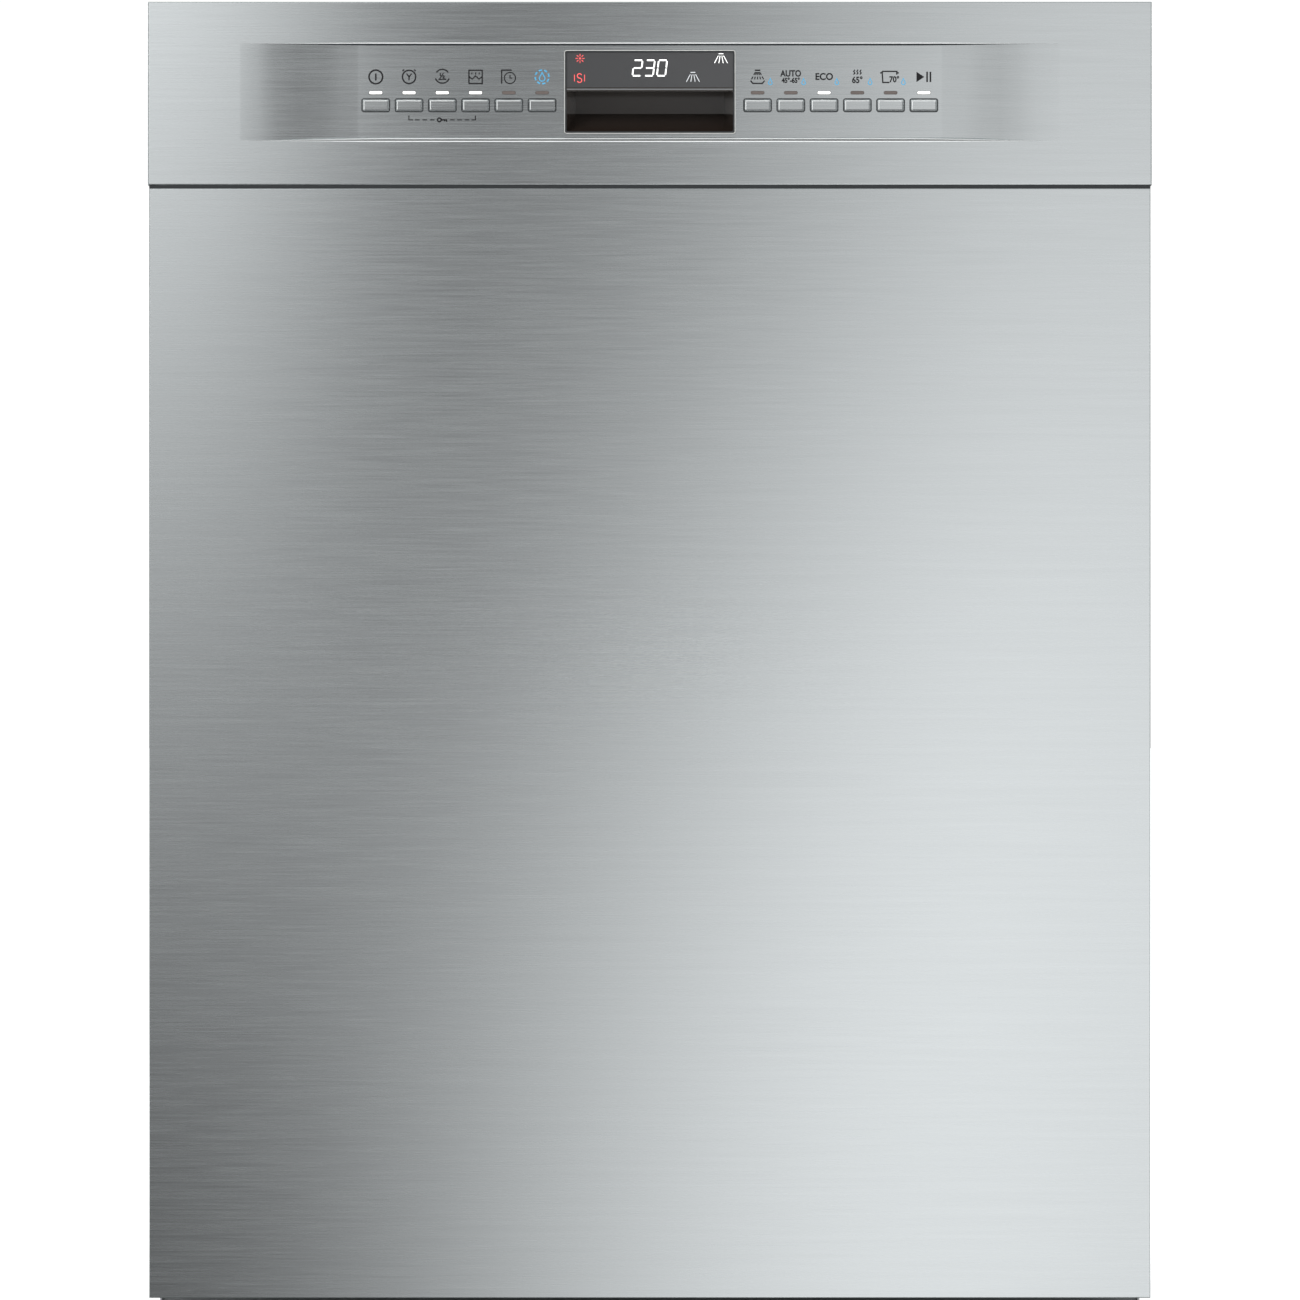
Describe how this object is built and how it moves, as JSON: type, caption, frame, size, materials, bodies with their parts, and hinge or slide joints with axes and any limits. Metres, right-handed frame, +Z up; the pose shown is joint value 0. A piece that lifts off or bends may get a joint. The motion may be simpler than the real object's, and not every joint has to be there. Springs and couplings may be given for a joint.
{
  "type": "built-in dishwasher",
  "caption": "Under-counter dishwasher with a brushed steel front, scooped control panel, keys, display window, recessed grip, drop-down door, racks and spray arms.",
  "frame": {"origin": "centre of the bounding box's bottom face, on the floor under the levelling feet", "axes": "+Z up; the door faces -Y; +X to the right as seen from the front"},
  "size_m": [0.598, 0.57, 0.86],
  "materials": {
    "steel_front": "horizontally brushed",
    "stainless": "satin stainless",
    "galvanised": "zinc-coated sheet",
    "grey_plastic": "moulded",
    "light_plastic": "moulded",
    "black_gloss": "glossy",
    "black_plastic": "moulded",
    "smoked_glass": "smoked display window",
    "lens": "translucent light pipe",
    "rubber": "moulded gasket",
    "wire": "nylon-coated wire",
    "spring_steel": "drawn wire",
    "board": "circuit board"
  },
  "bodies": {
    "cabinet": {"base_tray": "grey_plastic", "levelling_feet": "grey_plastic", "plinth": "black_plastic", "side_panel_left": "galvanised", "side_panel_right": "galvanised", "top_cover": "galvanised", "rear_panel": "galvanised", "tub": "stainless", "door_seal": "rubber", "latch_striker": "stainless", "hinge_brackets": "galvanised", "balance_springs": "spring_steel", "sump": "grey_plastic", "filter_plate": "stainless", "circulation_pump": "black_plastic", "drain_pump": "black_plastic", "softener": "light_plastic", "inlet_valve": "light_plastic", "terminal_box": "black_plastic", "feed_pipe": "grey_plastic", "upper_rails": "stainless"},
    "door": {"door_outer_panel": "steel_front", "door_inner_liner": "stainless", "door_screws": "stainless", "hinge_arms": "galvanised", "door_lock": "black_plastic", "control_panel": "steel_front", "handle_cup": "black_gloss", "display_window": "smoked_glass", "indicator_lights": "lens", "control_board": "board", "dispenser_body": "grey_plastic"},
    "coarse_filter": {"coarse_filter": "light_plastic"},
    "salt_cap": {"salt_cap": "grey_plastic"},
    "lower_arm": {"lower_spray_arm": "stainless"},
    "lower_rack": {"lower_rack": "wire", "cutlery_basket": "grey_plastic"},
    "upper_slides": {"upper_slides": "stainless"},
    "upper_rack": {"upper_rack": "wire", "upper_manifold": "grey_plastic"},
    "upper_arm": {"upper_spray_arm": "stainless"},
    "cup_shelf": {"cup_shelf": "grey_plastic"},
    "dispenser_lid": {"dispenser_lid": "light_plastic"},
    "rinse_aid_cap": {"rinse_aid_cap": "light_plastic"},
    "wheel_front_left": {"rack_wheel_front_left": "grey_plastic"},
    "wheel_front_right": {"rack_wheel_front_right": "grey_plastic"},
    "wheel_back_left": {"rack_wheel_back_left": "grey_plastic"},
    "wheel_back_right": {"rack_wheel_back_right": "grey_plastic"},
    "button_power": {"button_power": "steel_front"},
    "button_timer": {"button_timer": "steel_front"},
    "button_half_load": {"button_half_load": "steel_front"},
    "button_zone": {"button_zone": "steel_front"},
    "button_door": {"button_door": "steel_front"},
    "button_extra": {"button_extra": "steel_front"},
    "button_spray": {"button_spray": "steel_front"},
    "button_auto": {"button_auto": "steel_front"},
    "button_eco": {"button_eco": "steel_front"},
    "button_daily": {"button_daily": "steel_front"},
    "button_pots": {"button_pots": "steel_front"},
    "button_start": {"button_start": "steel_front"}
  },
  "joints": [
    {"name": "door_hinge", "type": "hinge", "parent": "cabinet", "child": "door", "pos_m": [0, -0.255, 0.148], "axis": [1, 0, 0], "range_deg": [0, 90], "stiffness_Nm_per_rad": 25},
    {"name": "upper_slides_run", "type": "slide", "parent": "cabinet", "child": "upper_slides", "axis": [0, -1, 0], "range_m": [0, 0.24]},
    {"name": "upper_rack_run", "type": "slide", "parent": "upper_slides", "child": "upper_rack", "axis": [0, -1, 0], "range_m": [0, 0.24]},
    {"name": "lower_rack_run", "type": "slide", "parent": "cabinet", "child": "lower_rack", "axis": [0, -1, 0], "range_m": [0, 0.5]},
    {"name": "lower_arm_spin", "type": "hinge", "parent": "cabinet", "child": "lower_arm", "pos_m": [0, 0.01, 0.18], "axis": [0, 0, 1], "continuous": true},
    {"name": "upper_arm_spin", "type": "hinge", "parent": "upper_rack", "child": "upper_arm", "pos_m": [0, 0.01, 0.49], "axis": [0, 0, 1], "continuous": true},
    {"name": "cup_shelf_fold", "type": "hinge", "parent": "upper_rack", "child": "cup_shelf", "pos_m": [-0.256, 0, 0.64], "axis": [0, -1, 0], "range_deg": [0, 80]},
    {"name": "coarse_filter_twist", "type": "hinge", "parent": "cabinet", "child": "coarse_filter", "pos_m": [0.06, 0.06, 0.15], "axis": [0, 0, 1], "range_deg": [0, 90]},
    {"name": "salt_cap_turn", "type": "hinge", "parent": "cabinet", "child": "salt_cap", "pos_m": [-0.17, 0.12, 0.16], "axis": [0, 0, 1], "range_deg": [0, 360]},
    {"name": "dispenser_lid_slide", "type": "slide", "parent": "door", "child": "dispenser_lid", "axis": [0, 0, -1], "range_m": [0, 0.072]},
    {"name": "rinse_aid_cap_turn", "type": "hinge", "parent": "door", "child": "rinse_aid_cap", "pos_m": [0.05, -0.235, 0.535], "axis": [0, 1, 0], "range_deg": [0, 90]},
    {"name": "wheel_front_left_roll", "type": "hinge", "parent": "lower_rack", "child": "wheel_front_left", "pos_m": [-0.247, -0.12, 0.1905], "axis": [1, 0, 0], "continuous": true},
    {"name": "wheel_front_right_roll", "type": "hinge", "parent": "lower_rack", "child": "wheel_front_right", "pos_m": [0.247, -0.12, 0.1905], "axis": [1, 0, 0], "continuous": true},
    {"name": "wheel_back_left_roll", "type": "hinge", "parent": "lower_rack", "child": "wheel_back_left", "pos_m": [-0.247, 0.16, 0.1905], "axis": [1, 0, 0], "continuous": true},
    {"name": "wheel_back_right_roll", "type": "hinge", "parent": "lower_rack", "child": "wheel_back_right", "pos_m": [0.247, 0.16, 0.1905], "axis": [1, 0, 0], "continuous": true},
    {"name": "button_power_press", "type": "slide", "parent": "door", "child": "button_power", "axis": [0, 1, 0], "range_m": [0, 0.0012], "stiffness_N_per_m": 800},
    {"name": "button_timer_press", "type": "slide", "parent": "door", "child": "button_timer", "axis": [0, 1, 0], "range_m": [0, 0.0012], "stiffness_N_per_m": 800},
    {"name": "button_half_load_press", "type": "slide", "parent": "door", "child": "button_half_load", "axis": [0, 1, 0], "range_m": [0, 0.0012], "stiffness_N_per_m": 800},
    {"name": "button_zone_press", "type": "slide", "parent": "door", "child": "button_zone", "axis": [0, 1, 0], "range_m": [0, 0.0012], "stiffness_N_per_m": 800},
    {"name": "button_door_press", "type": "slide", "parent": "door", "child": "button_door", "axis": [0, 1, 0], "range_m": [0, 0.0012], "stiffness_N_per_m": 800},
    {"name": "button_extra_press", "type": "slide", "parent": "door", "child": "button_extra", "axis": [0, 1, 0], "range_m": [0, 0.0012], "stiffness_N_per_m": 800},
    {"name": "button_spray_press", "type": "slide", "parent": "door", "child": "button_spray", "axis": [0, 1, 0], "range_m": [0, 0.0012], "stiffness_N_per_m": 800},
    {"name": "button_auto_press", "type": "slide", "parent": "door", "child": "button_auto", "axis": [0, 1, 0], "range_m": [0, 0.0012], "stiffness_N_per_m": 800},
    {"name": "button_eco_press", "type": "slide", "parent": "door", "child": "button_eco", "axis": [0, 1, 0], "range_m": [0, 0.0012], "stiffness_N_per_m": 800},
    {"name": "button_daily_press", "type": "slide", "parent": "door", "child": "button_daily", "axis": [0, 1, 0], "range_m": [0, 0.0012], "stiffness_N_per_m": 800},
    {"name": "button_pots_press", "type": "slide", "parent": "door", "child": "button_pots", "axis": [0, 1, 0], "range_m": [0, 0.0012], "stiffness_N_per_m": 800},
    {"name": "button_start_press", "type": "slide", "parent": "door", "child": "button_start", "axis": [0, 1, 0], "range_m": [0, 0.0012], "stiffness_N_per_m": 800}
  ],
  "couplings": [
    {"joint": "upper_slides_run", "follows": "door_hinge", "m_per_rad": 0.15},
    {"joint": "upper_rack_run", "follows": "door_hinge", "m_per_rad": 0.15},
    {"joint": "lower_rack_run", "follows": "door_hinge", "m_per_rad": 0.085}
  ]
}
